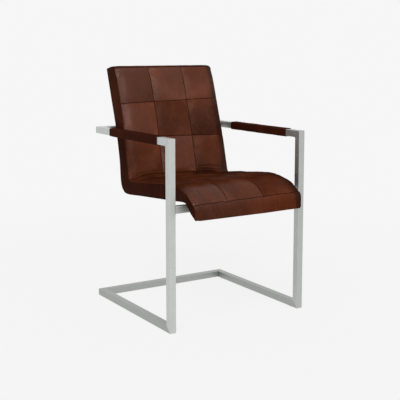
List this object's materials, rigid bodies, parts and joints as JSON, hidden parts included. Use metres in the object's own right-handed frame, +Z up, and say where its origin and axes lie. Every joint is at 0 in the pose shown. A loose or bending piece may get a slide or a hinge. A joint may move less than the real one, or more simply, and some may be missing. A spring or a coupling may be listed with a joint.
{
  "type": "cantilever armchair",
  "caption": "Dining armchair: a one-piece quilted leather shell on a cantilever sled frame of square steel tube, with leather pads wrapped round the arms.",
  "frame": {"origin": "on the floor, under the middle of the chair's bounding box", "axes": "+Z up; the sitter faces -Y, so the back is towards +Y; +X is to the right of someone who looks at the chair from the front"},
  "size_m": [0.577, 0.6636, 0.8967],
  "materials": {
    "brushed_steel": "brushed, satin",
    "zinc_steel": "zinc plated, satin",
    "brown_leather": "waxed, semi-matt, dark reddish brown that differs from patch to patch",
    "dark_leather": "waxed, semi-matt, very dark brown",
    "plywood": "raw moulded plywood, hidden",
    "foam": "polyurethane foam, hidden",
    "wadding": "polyester wadding, hidden",
    "black_nylon": "moulded nylon, matt"
  },
  "bodies": {
    "root": {"back_foam": "foam", "back_leather_cover": "brown_leather", "left_arm_foam": "foam", "left_arm_rail": "brushed_steel", "left_arm_sleeve": "dark_leather", "left_back_bolt": "zinc_steel", "left_back_corner_weld": "brushed_steel", "left_back_insert": "zinc_steel", "left_back_spacer": "black_nylon", "left_back_washer": "zinc_steel", "left_elbow_weld": "brushed_steel", "left_floor_corner_weld": "brushed_steel", "left_floor_runner": "brushed_steel", "left_foot_weld": "brushed_steel", "left_front_glide": "black_nylon", "left_front_leg": "brushed_steel", "left_front_seat_bolt": "zinc_steel", "left_front_seat_tee_nut": "zinc_steel", "left_front_seat_washer": "zinc_steel", "left_rear_glide": "black_nylon", "left_rear_seat_bolt": "zinc_steel", "left_rear_seat_tee_nut": "zinc_steel", "left_rear_seat_washer": "zinc_steel", "left_seat_bar_weld": "brushed_steel", "left_seat_bracket": "brushed_steel", "left_side_panel": "brown_leather", "rear_back_crossbar": "brushed_steel", "rear_floor_crossbar": "brushed_steel", "rear_leather_cover": "brown_leather", "rear_wadding": "wadding", "right_arm_foam": "foam", "right_arm_rail": "brushed_steel", "right_arm_sleeve": "dark_leather", "right_back_bolt": "zinc_steel", "right_back_corner_weld": "brushed_steel", "right_back_insert": "zinc_steel", "right_back_spacer": "black_nylon", "right_back_washer": "zinc_steel", "right_elbow_weld": "brushed_steel", "right_floor_corner_weld": "brushed_steel", "right_floor_runner": "brushed_steel", "right_foot_weld": "brushed_steel", "right_front_glide": "black_nylon", "right_front_leg": "brushed_steel", "right_front_seat_bolt": "zinc_steel", "right_front_seat_tee_nut": "zinc_steel", "right_front_seat_washer": "zinc_steel", "right_rear_glide": "black_nylon", "right_rear_seat_bolt": "zinc_steel", "right_rear_seat_tee_nut": "zinc_steel", "right_rear_seat_washer": "zinc_steel", "right_seat_bar_weld": "brushed_steel", "right_seat_bracket": "brushed_steel", "right_side_panel": "brown_leather", "seat_crossbar": "brushed_steel", "seat_foam": "foam", "seat_leather_cover": "brown_leather", "shell_core": "plywood"}
  },
  "joints": []
}
